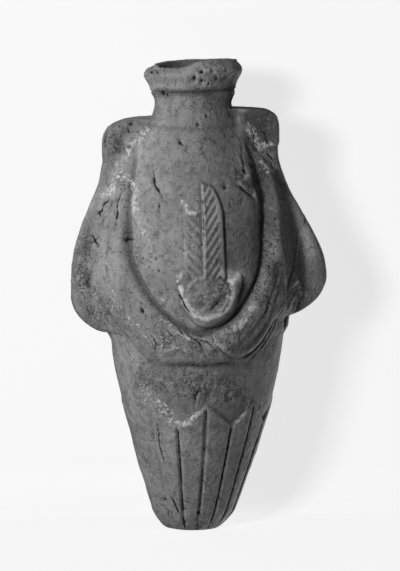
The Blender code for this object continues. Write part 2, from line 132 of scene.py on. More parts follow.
body = {
    "height": 160,
    "baseRadius": 8.8,
    "heelRadius": 14.1,
    "heelHeight": 6.2,
    "heelRoundness": 0.6,
    "bellyRadius": 30.5,
    "bellyHeight": 82,
    "neckRadius": 13,
    "neckHeight": 147,
    "shoulderFullness": 2.15,
    "wall": 4,
    "floor": 6.5,
    "mouthFlare": 1.8,
    "collar": (0.4, 138.6, 0.9),
    "bow": 1.3,
    "bowRoundness": 0.75,
}

lip = {
    "radius": 16.7,
    "depth": 9.4,
    "step": 0.34,
    "stepSpan": (-0.1, 0.14),
    "rollSpan": (-0.08, 0.62),
    "rounding": 3.3,
    "crestFall": 1.2,
    "crestRoundness": 1.8,
    "tilt": 0.045,
    "gusset": (1, 150.2, 2.2),
    "flare": (0.34, 0.25, 0.9),
    "flareSpan": (-0.5, 0.7),
    "square": 0.45,
    "squared": (55, 125),
    "waves": ((1.3, (-5, 58)), (-0.9, (-78, -18))),
    "waveFade": 30,
}


def trunkRadius(z):
    # heel: a power curve; belly: a quarter sine up; shoulder: a squared sine down to the neck
    heel = slope(0, body["heelHeight"], z) ** body["heelRoundness"]
    rise = slope(body["heelHeight"], body["bellyHeight"], z)
    climb = slope(body["bellyHeight"], body["neckHeight"], z)
    radius = mix(body["baseRadius"], body["heelRadius"], heel)
    radius += (body["bellyRadius"] - body["heelRadius"]) * np.sin(rise * math.pi / 2)
    shoulder = np.sin(climb ** body["shoulderFullness"] * math.pi / 2) ** 2
    return radius - (body["bellyRadius"] - body["neckRadius"]) * shoulder


def lipShare(z):
    # 0 at the lip's lower edge and 1 on its crest
    return (z - (body["height"] - lip["depth"])) / lip["depth"]


def rimCrest(z):
    # a power curve that rounds off the lip's top, from 0 below it to 1 on it
    return slope(body["height"] - lip["rounding"], body["height"], z) ** lip["crestRoundness"]


def bodyRadius(z):
    # the trunk, and the lip on its neck: a small step, then a thick roll with a rounded crest
    share = np.clip(lipShare(z), 0, 1)
    roll = mix(ease(*lip["rollSpan"], share), ease(*lip["stepSpan"], share), lip["step"])
    overhang = np.where(share > 0, roll - lip["crestFall"] * rimCrest(z), 0)
    return trunkRadius(z) + (lip["radius"] - body["neckRadius"]) * overhang


def lipWear(azimuth, z):
    # what the worn lip adds to the radius and to the height: side gussets, a squarer right, sides where the
    # step under the lip is worn down to a gentle flare, and a wavy crest
    sideways = np.sin(np.radians(azimuth)) ** 2
    gusset = bump(lip["gusset"], z) * sideways
    square = lip["square"] * between(lip["squared"], azimuth, lip["waveFade"]) * rimCrest(z)
    gentler = ease(*lip["flareSpan"], lipShare(z)) - ease(*lip["stepSpan"], lipShare(z))
    flared = step(lip["flare"], sideways) * gentler
    added = gusset + (square * lip["crestFall"] + flared) * (lip["radius"] - body["neckRadius"])
    wave = sum(rise * between(span, azimuth, lip["waveFade"]) for rise, span in lip["waves"])
    return added, wave * ease(body["height"] - lip["rounding"], body["height"], z)


def hollowRadius(z):
    # the trunk less its wall, rounded off over two walls at the floor and flared at the mouth
    bowl = slope(body["floor"], body["floor"] + 2 * body["wall"], z)
    inside = (trunkRadius(z) - body["wall"]) * np.sqrt(1 - (1 - bowl) ** 2)
    return inside + body["mouthFlare"] * ease(body["neckHeight"], body["height"], z)


# The sides: a rounded wing below a waist, and a squared lug on the shoulder

sides = {
    "direction": (-1, 1),
    "wingReach": (42.9, 44.5),
    "tailBottom": (64.2, 66.2),
    "wingBottom": (68.2, 73.8),
    "wingWidest": (80.4, 86.6),
    "wingRoundness": (1.8, 1.65),
    "wingFullness": (1.45, 1),
    "waistReach": (30.6, 28.6),
    "waistHeight": (126, 131),
    "lugReach": (31.4, 29.2),
    "lugHeight": (130, 133),
    "lugTop": (141.3, 144.2),
    "lugSquareness": (3.1, 5.5),
}

wing = {
    "thickness": 15,
    "lugThickness": 14,
    "flatness": 12,
    "steepness": 3.5,
    "webSteepness": 1.7,
    "webSpan": (40, 54),
    "tail": 1.2,
    "tailRise": 4,
}


def sideOutline(side, z):
    # reach: superellipse below the widest place, cosine taper up to the waist, superellipse over the lug
    bodyHere = bodyRadius(z)
    ledge = bodyHere + wing["tail"] * ease(side["tailBottom"], side["tailBottom"] + wing["tailRise"], z)
    below = slope(side["wingWidest"], side["wingBottom"], z)
    roundness = side["wingRoundness"]
    lower = mix(ledge, side["wingReach"], (1 - below**roundness) ** (1 / roundness))
    above = slope(side["wingWidest"], side["waistHeight"], z)
    taper = 0.5 + 0.5 * np.cos(math.pi * above ** side["wingFullness"])
    upper = mix(side["waistReach"], side["wingReach"], taper)
    upper += (side["lugReach"] - side["waistReach"]) * ease(side["waistHeight"], side["lugHeight"], z)
    turn = slope(side["lugHeight"], side["lugTop"], z) * math.pi / 2
    power = 2 / side["lugSquareness"]
    square = mix(body["neckRadius"], side["lugReach"], np.cos(turn) ** power)
    corner = mix(side["lugHeight"], side["lugTop"], np.sin(turn) ** power)
    reach = np.where(z < side["wingWidest"], lower, np.where(turn > 0, square, upper))
    height = np.where((turn > 0) & (z < side["lugTop"]), corner, z)
    return np.maximum(reach, bodyHere), height


def sideWeight(side, azimuth, z, reach):
    # 1 on the side's edge and 0 far from it: one over one plus a power of the turn from the edge. The power
    # is high inside the thickness, for a flat front, and low towards the front, for a web from arm to wing
    lug = ease(side["waistHeight"] - wing["thickness"], side["waistHeight"], z)
    thickness = mix(wing["thickness"], wing["lugThickness"], lug)
    spread = np.degrees(np.arcsin(np.clip(thickness / (bodyRadius(z) + reach), 0, 0.9)))
    turn = np.abs((azimuth - side["direction"] * 90 + 180) % 360 - 180) / spread
    web = (1 - lug) * ease(*wing["webSpan"], np.abs(azimuth)) * (np.abs(azimuth) < 90)
    outside = mix(wing["steepness"], wing["webSteepness"], web) + lug
    return 1 / (1 + turn ** np.where(turn < 1, wing["flatness"], outside))


# The carving on the front: a rolled garland whose right arm ends in a tongue over the left one

swag = {
    "azimuth": -4,
    "spread": 50,
    "flare": (10, 11),
    "flareBend": (2, 1.3),
    "flareRise": 26,
    "flareLimit": 1.25,
    "bend": 98,
    "roundness": (1.5, 1.65),
    "inner": 69.8,
    "outer": 60,
    "softness": 2,
    "softerLeft": (9, -24, -44),
    "width": 0.66,
    "armWidth": 0.15,
    "armHeights": (68, 106),
    "armSide": (10, 40),
    "height": 2.4,
    "rollLean": 0.8,
    "rollFullness": 0.6,
    "groove": (1.6, 0.965, 0.05),
    "sunk": (0.9, 0.965, 0.16),
    "sunkSide": (-4, 24),
    "strands": 6,
    "strandDepth": 0.6,
    "strandFullness": 0.6,
    "strandEdge": 0.1,
    "strandSide": (8, 34),
    "strandAcross": (0.2, 0.4),
    "strandFade": (84, 96),
    "topFade": (122, 134),
    "sideFade": (80, 92),
}

tongue = {
    "middle": 21,
    "half": (18, 26),
    "foot": 62,
    "rise": 8.5,
    "edge": 0.5,
    "begins": (-30, -8),
    "step": (0.4, -80, -20),
    "groove": (0.7, 0, 0.5),
    "grooveBegins": (-30, -12),
}


def garland(azimuth, z):
    # ring is 1 on the inner edge: a rounded V below the bend, straight arms above. Share runs over the roll
    left = azimuth <= swag["azimuth"]
    parting = np.clip((z - swag["bend"]) / swag["flareRise"], 0, swag["flareLimit"])
    flare = np.where(left, *swag["flare"]) * parting ** np.where(left, *swag["flareBend"])
    across = np.abs(azimuth - swag["azimuth"]) / (swag["spread"] + flare)
    down = np.clip(swag["bend"] - z, 0, None) / (swag["bend"] - swag["inner"])
    roundness = np.where(left, *swag["roundness"])
    ring = (across**roundness + down**roundness) ** (1 / roundness)
    narrow = ease(*swag["armHeights"], z) * ease(*swag["armSide"], azimuth)
    share = slope(1, 1 + mix(swag["width"], swag["armWidth"], narrow), ring)
    roll = np.sin(math.pi * share ** swag["rollLean"]) ** swag["rollFullness"]
    # the tongue's edge is a parabola with its foot at the right; the left arm steps down below it
    along = azimuth - tongue["middle"]
    overEdge = z - tongue["foot"] - tongue["rise"] * (along / np.where(along < 0, *tongue["half"])) ** 2
    onArm = ease(-tongue["edge"], tongue["edge"], overEdge) * ease(*tongue["begins"], along)
    lowered = step(tongue["step"], along) * (1 - onArm)
    edgeGroove = bump(tongue["groove"], overEdge) * (ring > 1) * ease(*tongue["grooveBegins"], along)
    # thin ridges part the furrows of the outer half of the tongue
    plaited = ease(*swag["strandSide"], azimuth) * (1 - ease(*swag["strandFade"], z))
    plaited = plaited * ease(*swag["strandAcross"], share) * ease(0, swag["strandEdge"], 1 - share)
    furrows = np.abs(np.sin(math.pi * swag["strands"] * share)) ** swag["strandFullness"]
    height = swag["height"] * roll * (1 - lowered) - swag["strandDepth"] * furrows * plaited - edgeGroove
    soft = swag["softness"] + step(swag["softerLeft"], azimuth)
    lowerEdge = ease(swag["outer"] - 0.3 * soft, swag["outer"] + 0.7 * soft, z)
    # a groove runs round inside the roll, and the field beside it is sunk at the right
    sunk = bump(swag["sunk"], np.minimum(ring, swag["sunk"][1])) * (ring < 1)
    groove = bump(swag["groove"], ring) + sunk * ease(*swag["sunkSide"], azimuth)
    here = (1 - ease(*swag["sideFade"], np.abs(azimuth))) * (1 - ease(*swag["topFade"], z))
    return here * (height * lowerEdge - groove)


# The crown: two feathers over a disk with horns. Widths across it are millimetres from the feathers' rib, and
# bearings round the disk are degrees from straight down that grow to the right.

plume = {
    "azimuth": -1,
    "top": 121.5,
    "foot": 90,
    "footFade": 2,
    "width": 7.2,
    "rounding": 1.5,
    "narrowing": 0.85,
    "splay": 0.05,
    "edge": 0.9,
    "topEdge": 1,
    "topSlope": 0.25,
    "height": (0.375, 1.5),
    "groove": 0.5,
    "grooveFades": (8, 4),
    "barbPitch": 3.6,
    "barbDepth": 0.6,
    "barbSlope": (1.05, 1.55),
    "barbBegins": (0.18, 0.81),
    "barbEnds": (0.62, 0.78),
    "barbCut": 1.15,
    "barbWear": (0.85, 108, 116),
    "rib": (0.3, 0.45, 0.3),
    "ribGroove": (0.72, -0.3, 0.36),
}

horns = {
    "height": 83.6,
    "shift": 1.15,
    "diskRadius": 7,
    "diskEdge": (-0.5, 0.3),
    "diskRise": 1,
    "widening": 1.1,
    "width": 4.4,
    "thinnest": 0.35,
    "thickens": (-60, 10),
    "narrowing": (0.4, 30, 100),
    "rise": 2.2,
    "lowest": 0.6,
    "innerEdge": 0.1,
    "flare": (2.4, 80, 125),
    "gap": 0.4,
    "leftTip": (-115, -95),
    "rightTip": (115, 128),
    "groove": (0.9, 8.98, 0.6),
    "grooveEnds": (-50, -10),
}


def feathers(across, z):
    # two tall tongues side by side; barbs are cosine furrows that run down to the rib between them
    side = np.abs(across)
    left = across < 0
    top, foot, edge = plume["top"], plume["foot"], plume["edge"]
    roundTop = slope(top - plume["rounding"] * plume["width"], top, z)
    splay = 1 + plume["splay"] * (top - z) / (top - foot) * np.sign(across)
    half = plume["width"] * splay * np.sqrt(1 - plume["narrowing"] * roundTop**2)
    inside = ease(0, edge, half - side) * ease(foot - plume["footFade"], foot, z)
    inside = inside * ease(0, plume["topEdge"], top - z - plume["topSlope"] * side)
    cut = np.where(left, 1 - step(plume["barbWear"], z), plume["barbCut"])
    climb = z - np.where(left, *plume["barbSlope"]) * side
    wave = (0.5 - 0.5 * np.cos(2 * math.pi * climb / plume["barbPitch"])) ** 2
    barbs = wave * ease(*plume["barbBegins"], side) * (1 - ease(*plume["barbEnds"], side / half))
    ridge = bump(plume["rib"], across) - bump(plume["ribGroove"], across)
    upper, lower = plume["grooveFades"]
    beside = bell(half + edge, edge, across)
    beside = beside * ease(foot, foot + upper, z) * (1 - ease(top - lower, top, z))
    height = np.where(left, *plume["height"]) - plume["barbDepth"] * cut * barbs + ridge
    return inside * height - plume["groove"] * beside


def diskAndHorns(across, z):
    # the disk ends in a smooth step; the crescent is a quarter round that falls away outwards, below it
    up = z - horns["height"]
    fromMiddle = np.hypot(across / horns["widening"], up)
    bearing = np.degrees(np.arctan2(across, -up))
    radius = horns["diskRadius"]
    first, last = horns["diskEdge"]
    disk = horns["diskRise"] * (1 - ease(radius + first, radius + last, fromMiddle))
    flare = step(horns["flare"], bearing)
    thickening = ease(*horns["thickens"], bearing)
    width = horns["width"] * mix(horns["thinnest"], 1, thickening)
    width = width * (1 - step(horns["narrowing"], bearing)) + flare
    share = np.clip((fromMiddle - radius - horns["gap"] * flare) / width, 0, 1)
    rise = horns["rise"] * mix(horns["lowest"], 1, thickening)
    horn = rise * np.sqrt(1 - share**2) * ease(0, horns["innerEdge"], share)
    leftTip = ease(*horns["leftTip"], bearing)
    rightTip = 1 - ease(*horns["rightTip"], bearing)
    besideLeft = (1 - ease(*horns["grooveEnds"], bearing)) * leftTip
    return np.maximum(disk, horn * leftTip * rightTip) - bump(horns["groove"], fromMiddle) * besideLeft


def crown(azimuth, z):
    # the higher of both, on the front half of the body, unrolled at the belly's radius
    across = np.radians(azimuth - plume["azimuth"]) * body["bellyRadius"]
    height = np.maximum(feathers(across, z), diskAndHorns(across - horns["shift"], z))
    return np.where(np.abs(across) < body["bellyRadius"], height, 0)


ribbonEnd = {
    "root": 45,
    "rootFade": 5,
    "length": 21.6,
    "pointFade": 0.93,
    "rootHeights": (112.5, 125.3),
    "pointHeights": (121.3, 120.9),
    "edgeFades": (0.9, 1.2),
    "height": 1.2,
    "leftShift": 10,
    "leftShare": 0.4,
    "strip": (36, 54),
    "stripEdge": 4,
    "stripFoot": (121.3, 124.3),
    "stripTop": (125, 133),
    "stripHeight": 0.6,
}


def ribbon(azimuth, z):
    # a flat triangle with its point towards the front, under a strip that runs up to the lug
    inward = ribbonEnd["root"] - azimuth
    share = inward / ribbonEnd["length"]
    edges = zip(ribbonEnd["rootHeights"], ribbonEnd["pointHeights"])
    bottom, top = (mix(root, point, share) for root, point in edges)
    bottomFade, topFade = ribbonEnd["edgeFades"]
    inside = ease(0, bottomFade, z - bottom) * ease(0, topFade, top - z)
    inside = inside * ease(0, ribbonEnd["rootFade"], inward) * ease(1, ribbonEnd["pointFade"], share)
    strip = between(ribbonEnd["strip"], azimuth, ribbonEnd["stripEdge"])
    strip = strip * ease(*ribbonEnd["stripFoot"], z) * (1 - ease(*ribbonEnd["stripTop"], z))
    return np.maximum(ribbonEnd["height"] * inside, ribbonEnd["stripHeight"] * strip)


leaves = {
    "valleys": (-66, -21, 24, 62, 110, 158, 203, 249),
    "tip": 45.6,
    "valley": 38,
    "bluntness": 0.9,
    "edge": 0.5,
    "raise": 0.45,
    "sink": 0.45,
    "fade": 12,
    "groove": 1,
    "grooveWidth": 0.55,
    "grooveBegins": 2,
    "midribDepth": 0.7,
    "midribDark": 0.9,
    "wornLeft": (-34, -24),
    "wornRight": (64, 80),
    "wear": 0.6,
}


def calyx(azimuth, z):
    # leaf tips make a zigzag; narrow bell-shaped grooves run down between the leaves and along each midrib.
    # The second result is 1 in the deepest groove, and is painted as shade in the grooves
    valleys = np.array([*leaves["valleys"], leaves["valleys"][0] + 360])
    degrees = (azimuth - valleys[0]) % 360 + valleys[0]
    place = np.interp(degrees, valleys, np.arange(len(valleys)))
    number = np.minimum(np.floor(place), len(valleys) - 2).astype(int)
    off = np.abs(place - number - 0.5)
    above = z - mix(leaves["tip"], leaves["valley"], (2 * off) ** leaves["bluntness"])
    past = ease(-leaves["edge"], leaves["edge"], above)
    leaf = leaves["raise"] * (1 - past)
    ground = leaves["sink"] * past * (1 - ease(0, leaves["fade"], above))
    across = np.radians(np.diff(valleys))[number] * bodyRadius(z)
    below = ease(0, leaves["grooveBegins"], -above)
    valley = bell(0, leaves["grooveWidth"], (0.5 - off) * across) * below
    midrib = bell(0, leaves["grooveWidth"], off * across) * below
    grooves = leaves["groove"] * (valley + leaves["midribDepth"] * midrib)
    unworn = ease(*leaves["wornLeft"], azimuth) * (1 - ease(*leaves["wornRight"], azimuth))
    crisp = 1 - leaves["wear"] * (1 - unworn)
    height = (leaf - grooves) * ease(body["heelHeight"] / 8, body["heelHeight"], z) - ground
    return crisp * height, crisp * (valley + leaves["midribDark"] * midrib)


def carving(azimuth, z):
    # all carved forms and the collar's groove; the left ribbon end is a worn mirror image of the right one
    height = garland(azimuth, z) + crown(azimuth, z) + calyx(azimuth, z)[0]
    height += ribbon(azimuth, z) + ribbonEnd["leftShare"] * ribbon(-azimuth - ribbonEnd["leftShift"], z)
    return height - bump(body["collar"], z)


# The skin as a grid: rows run from the hollow's floor up over the lip and down to the base, columns run
# round. Rows and columns lie closer together on the carving, the side faces, the lip and the base.

grid = {
    "columns": 296,
    "backDensity": 0.35,
    "frontDensity": (0.75, 100, 60),
    "faceDensity": ((1.5, 78, 9), (0.5, 97, 6)),
    "outerRows": 292,
    "innerRows": 44,
    "rowDensity": 0.8,
    "carvedDensity": ((0.5, 60, 66), (-0.5, 122, 128)),
    "baseDensity": (1.2, 0, 2),
    "lipDensity": (0.8, 146, 151),
    "samples": 4001,
}


def spacedBy(density, low, high, count, closed=True):
    # count places between low and high, closer together where the density is greater
    fine = np.linspace(low, high, grid["samples"])
    heap = np.concatenate([[0], np.cumsum((density(fine[1:]) + density(fine[:-1])) / 2)])
    shares = np.linspace(0, heap[-1], count, endpoint=closed)
    return np.interp(shares, heap, fine)


def columnDensity(azimuth):
    # a step between back and front, and a bump on each stretch of the side faces
    turn = np.abs(azimuth)
    faces = sum(bump(face, turn) for face in grid["faceDensity"])
    return grid["backDensity"] + step(grid["frontDensity"], turn) + faces


def rowDensity(z):
    # steps at the carving's ends and at the lip, and a bump at the base
    carved = sum(step(end, z) for end in grid["carvedDensity"])
    return grid["rowDensity"] + carved + bump(grid["baseDensity"], z) + step(grid["lipDensity"], z)


def skinRows():
    # turned radius, height and outside flag of each row, without the two poles
    mouthEdge = body["height"] - lip["rounding"] / 3
    inner = np.linspace(body["floor"], mouthEdge, grid["innerRows"] + 1)[1:]
    outer = spacedBy(rowDensity, 0, body["height"], grid["outerRows"])[::-1]
    edgeRadius = (hollowRadius(body["height"]) + bodyRadius(body["height"])) / 2
    radius = np.concatenate([hollowRadius(inner), [edgeRadius], bodyRadius(outer)])
    height = np.concatenate([inner, [(body["height"] + mouthEdge) / 2], outer])
    outside = np.concatenate([np.zeros(len(inner) + 1), np.ones(len(outer))])
    return radius, height, outside


def carvedPoints(radius, height, outside, azimuth):
    # every row and column: carving and sides move the outside along its radius, bow and tilt move all.
    # Shell is 1 on the outside and 0 on the hollow and on the base
    rows, columns = len(height), len(azimuth)
    z = np.repeat(height[:, None], columns, axis=1)
    turn = np.repeat(azimuth[None, :], rows, axis=0)
    shell = np.repeat(outside[:, None], columns, axis=1) * (z > 0)
    added, raised = lipWear(turn, z)
    newRadius = radius[:, None] + shell * (carving(turn, z) + added)
    newZ = z.copy()
    for pair in zip(*sides.values()):
        side = dict(zip(sides, pair))
        reach, edgeHeight = sideOutline(side, z)
        weight = sideWeight(side, turn, z, reach) * shell
        newRadius = newRadius + weight * (reach - bodyRadius(z))
        newZ += weight * (edgeHeight - z)
    start = body["heelHeight"] / 2
    climb = slope(start, body["neckHeight"], z)
    x = newRadius * np.sin(np.radians(turn)) + body["bow"] * np.sin(math.pi * climb ** body["bowRoundness"])
    y = -newRadius * np.cos(np.radians(turn))
    newZ += lip["tilt"] * x * ease(body["neckHeight"], body["height"] - lip["depth"] / 2, z) + raised
    return np.stack([x, y, newZ], axis=-1), turn, z, shell


def gridNormals(points):
    # the cross product of the steps along the columns and along the rows, which points out of the clay
    alongColumn = np.roll(points, -1, axis=1) - np.roll(points, 1, axis=1)
    alongRow = np.gradient(points, axis=0)
    normal = np.cross(alongRow, alongColumn)
    return normal / np.maximum(np.linalg.norm(normal, axis=-1, keepdims=True), 1e-9)


# Weathering, with painted shade in its marks

# large odd numbers that scramble the bits of a cell's place
scramble = {
    "axes": (73856093, 19349663, 83492791),
    "seed": 40503,
    "rounds": ((15, 2246822519), (13, 3266489917), (16, 1)),
    "bits": 0xFFFFFFFF,
}


def randomAt(cells, seed):
    # a fixed random value from -1 to 1 for each whole-number cell
    mixed = np.bitwise_xor.reduce(cells * np.array(scramble["axes"]), axis=-1) ^ (seed * scramble["seed"])
    for shift, factor in scramble["rounds"]:
        mixed = mixed & scramble["bits"]
        mixed = (mixed ^ (mixed >> shift)) * factor
    return 2 * mixed / scramble["bits"] - 1


def softNoise(points, size, seed):
    # random values on a cubic lattice of that size, blended smoothly between its corners
    scaled = points / size
    cell = np.floor(scaled).astype(np.int64)
    part = scaled - cell
    blend = ease(0, 1, part)
    total = np.zeros(points.shape[:-1])
    for corner in np.ndindex(2, 2, 2):
        weight = np.prod(np.where(np.array(corner) == 1, blend, 1 - blend), axis=-1)
        total += weight * randomAt(cell + np.array(corner), seed)
    return total


def roughNoise(points, size, seed, layers, fade=0.55):
    # layers of soft noise, each half as large as the one before, and weaker by the fade
    total = np.zeros(points.shape[:-1])
    for layer in range(layers):
        total += fade**layer * softNoise(points, size / 2**layer, seed + layer)
    return total


def toLine(across, above, line):
    # distance from each seen place to a line through the given places
    nearest = np.full(across.shape, 1e9)
    for (x0, y0), (x1, y1) in zip(line[:-1], line[1:]):
        dx, dy = x1 - x0, y1 - y0
        length = dx * dx + dy * dy
        share = np.clip(((across - x0) * dx + (above - y0) * dy) / length, 0, 1)
        nearest = np.minimum(nearest, np.hypot(across - x0 - share * dx, above - y0 - share * dy))
    return nearest


def stroke(across, above, line, half, fade):
    # 1 along the line and 0 beside it; the fade's ends are distances in half widths
    return 1 - ease(*fade, toLine(across, above, line) / half)


# cracks: seen places, half width and depth
cracks = [
    ((-30, 135.5), (-30.5, 132.5), (-30, 129.5), 0.45, 0.7),
    ((25, 138.5), (24, 135.5), 0.4, 0.5),
    ((-28.5, 112.5), (-30.5, 109.5), (-32.5, 105.5), 0.5, 0.8),
    ((-23.5, 115.5), (-25.5, 110.5), (-25.5, 106.5), (-26.5, 101), 0.35, 0.6),
    ((-13.5, 121.5), (-12.5, 116), (-10.5, 112.5), 0.4, 0.7),
    ((-11.5, 110.5), (-11.5, 107), 0.35, 0.5),
    ((-23.5, 98), (-20, 98.5), 0.35, 0.6),
    ((-21.5, 100), (-22, 96.5), 0.35, 0.6),
    ((-34.5, 100), (-32.5, 96), 0.4, 0.5),
    ((-32.5, 99.5), (-34.5, 96.5), 0.4, 0.5),
    ((0, 65.5), (2.5, 63), (3.5, 60.5), 0.3, 0.4),
    ((-14, 66), (-12, 62.5), (-13.5, 59.5), 0.3, 0.3),
    ((24.5, 98), (25.5, 88), (24, 79), 0.25, 0.3),
    ((27, 96), (27.5, 86), 0.25, 0.3),
    ((22.5, 85), (21, 77), 0.25, 0.3),
    ((-2.5, 67), (0, 65), (4.5, 64), (8, 61), 0.3, 0.4),
    ((-10, 69), (-6, 65), (-10, 61), 0.3, 0.4),
    ((-5, 68.5), (-3, 66), 0.3, 0.4),
    ((2.5, 48.5), (0.5, 43.5), 0.4, 0.6),
    ((-7.5, 10.5), (-6, 7.5), (-4.5, 4.5), 0.4, 0.6),
    ((32, 71.5), (31.5, 68), 0.5, 0.7),
    ((9, 77.5), (6, 74.5), 0.5, 0.5),
    ((23.5, 91), (26.5, 92), 0.3, 0.3),
    ((-17.5, 56.5), (-14, 56.5), 0.35, 0.4),
    ((-4, 56), (4, 55.5), (9, 56), (14, 57), 0.35, 0.4),
    ((-12, 36), (-11.5, 29), (-9.5, 22), 0.3, 0.4),
    ((3, 118.5), (3.5, 103), (3.5, 88), 0.22, 0.2),
    ((14.5, 117.5), (18, 120.5), 0.35, 0.4),
    ((14.5, 117), (21, 111.5), 0.35, 0.4),
    ((17, 131), (16.5, 126), (18, 121), 0.35, 0.4),
    ((-5, 82.5), (-4.5, 79.5), (-2.5, 75.5), (0, 72.5), 0.35, 0.4),
    ((18.5, 141), (20.5, 134), (21, 126), 0.3, 0.4),
    ((22.5, 136), (25, 133), (25.5, 129), 0.3, 0.4),
    ((26, 142), (24.5, 137), 0.35, 0.5),
    ((25, 128), (27.5, 125), 0.4, 0.5),
]

# single pits: seen place, radius and depth
pits = [
    (0.5, 152.5, 0.75, 1.1), (-21, 137.5, 0.9, 0.8), (-22, 135.5, 0.5, 0.5),
    (3, 151.5, 0.6, 0.8), (-10.5, 148, 0.8, 0.7), (-9, 147.5, 0.6, 0.7),
    (-14, 155, 0.7, 0.5), (-12, 155, 0.5, 0.4), (3, 155, 0.8, 0.6),
    (4, 151.5, 0.4, 0.4), (5.5, 150.5, 0.45, 0.5), (6.5, 155, 0.5, 0.5),
    (8, 152.5, 0.5, 0.5), (-4.5, 131, 0.8, 0.7), (-3.5, 130, 0.5, 0.5),
    (1.5, 137.5, 0.5, 0.5), (4.5, 140, 0.5, 0.5), (11, 116, 0.6, 0.8),
    (16.5, 110.5, 0.4, 0.5), (-17.5, 77, 0.6, 0.5), (-17, 74, 0.7, 0.6),
    (-9.5, 9.5, 0.6, 0.6), (-2.5, 6.5, 0.5, 0.5), (-2.5, 2, 0.5, 0.5),
    (-12.5, 91.5, 0.6, 0.4), (-10, 92, 0.5, 0.4), (-11.5, 87.5, 0.6, 0.4),
    (-13.5, 88, 0.5, 0.3), (2, 5, 0.5, 0.5), (24.5, 132, 0.6, 0.5),
    (26.5, 129, 0.5, 0.5), (19, 133, 0.5, 0.5), (20.5, 123, 0.6, 0.5),
    (24, 123, 0.5, 0.4), (17.5, 121.5, 0.9, 0.7),
]

# salt crusts: seen places, half width and strength
crusts = [
    ((-15.5, 135.5), (-18, 132), (-21.5, 129), (-24.5, 124), (-25.5, 119.5), 2.8, 0.75),
    ((-25.5, 119.5), (-27.5, 115), (-30.5, 113.5), 2, 0.85),
    ((-22.5, 119.5), (-19.5, 116), (-20, 110.5), 2, 0.9),
    ((-20, 110.5), (-18, 104.5), (-15.5, 99), 2, 0.7),
    ((-30, 91), (-29, 84.5), (-27.5, 78), 3, 0.55),
    ((-3.5, 111), (-1.5, 107), (0.5, 107), 1.3, 0.9),
    ((-6.5, 108), (-3, 104), 2, 0.6),
    ((-5, 84.5), (-3.5, 87), 1.4, 0.95),
    ((-4, 82), (-2, 76), (0.5, 72.5), (5, 71.5), (9, 73.5), (12, 78), (12.5, 83), 1.1, 1),
    ((11, 86), (13, 84), (16, 86.5), 1.6, 1),
    ((-9.5, 71.5), (-5, 67), (-0.5, 64), 1.3, 0.85),
    ((-26, 75), (-16, 66), (-6, 62), 3, 0.6),
    ((20.5, 75.5), (17, 71), (14.5, 68.5), 1.8, 1),
    ((7, 64), (9.5, 62.5), 1.3, 0.8),
    ((-16, 48), (-14.5, 43.5), (-10.5, 42), (-8, 38.5), 3, 0.75),
    ((-5, 56.5), (-5, 51), (-7, 50.5), 1, 0.7),
    ((-7, 37), (-4.5, 36), (-1, 37), (1.5, 39.5), 2.2, 0.8),
    ((14, 35), (17.5, 39.5), (19, 43.5), 0.9, 0.9),
    ((19, 137), (21.5, 132), (24, 130), 2, 0.95),
    ((23, 131), (27, 131), 1.5, 0.95),
    ((23.5, 130.5), (23.5, 125), (26, 122), 2.6, 0.9),
    ((35.5, 83), (37.5, 80), 2, 0.85),
    ((-9.5, 80.5), (-10, 78), 1, 0.8),
    ((-4, 91), (-1, 97), 3, 0.6),
]

# tone patches: seen places, half width and tone; a tone below 0 darkens the clay and one above 0 lightens it.
# Some are stains and paler clay, and those marked below are painted shade and painted highlights
stainsAndPaintedLight = [
    # painted shadow under the lip
    ((-13, 148), (5, 147.5), 1.3, -0.7),
    ((12.5, 141), (13.5, 137), 1.4, -0.5),
    ((13, 143.5), (17, 142.5), 1.2, 0.6),
    # painted highlight along the right lug's edge
    ((28.5, 141), (28.5, 131), 0.8, 0.7),
    ((-13, 150.5), (0, 150.3), (12, 150.8), 1.2, 0.35),
    ((11, 155), (15.5, 153), 2.2, 0.5),
    ((-14, 50), (0, 50), (14, 46), 5, -0.1),
    ((7, 135), (9, 124), 5, -0.3),
    ((15.5, 138), (16, 128), 1.5, 0.35),
    ((21, 140), (26, 138.5), (26, 132), 4, -0.95),
    ((15, 117), (19.5, 117), 2, -0.6),
    ((-13, 154), (-8, 152), 2, -0.3),
    # the next two: painted shade on the shoulder and on the ground between the crown and the right arm
    ((2, 128), (-2, 118), (0, 128), 6, -0.15),
    ((11, 120), (14, 102), (11, 90), 4, -0.3),
    ((21, 143), (20.5, 130), (22, 120), 3.2, -0.45),
    # painted shade on the ground beside the right arm
    ((18, 112), (20, 98), 3, -0.25),
    # painted highlight on the right wing
    ((34, 112), (37, 104), (40, 94), 2.2, 0.6),
    # painted shade in the valley between the right arm and the wing
    ((28, 88), (32, 79), (31, 71), 4, -0.6),
    ((-27, 138), (-30, 130), 2, -0.35),
    # painted shadow under the garland's lower edge
    ((-8, 57), (12, 57), 1.5, -0.4),
    ((-17, 126), (-19, 108), (-14, 90), 3, 0.2),
    ((11, 87), (14, 86), (16.5, 86), 2.2, 0.7),
    ((-4, 82), (-3, 79), (-1, 75), (3, 72), (7, 72.5), (11, 75.5), (13, 80), 0.8, 0.8),
    # painted shadow under the tongue's lower edge
    ((14, 61), (20, 63), (26, 69), 1.5, -0.6),
    # painted shade in the valley beside the right arm
    ((23, 122), (25.5, 112), (26, 102), 3.2, -0.7),
    # painted light on the left lug's top
    ((-26, 140), (-18, 141), 2.5, 0.3),
    # the next two: painted highlights along the ribbon end's edges
    ((15.5, 117.5), (20.5, 113), 0.5, 0.5),
    ((15.5, 118), (18.5, 120), 0.5, 0.6),
]

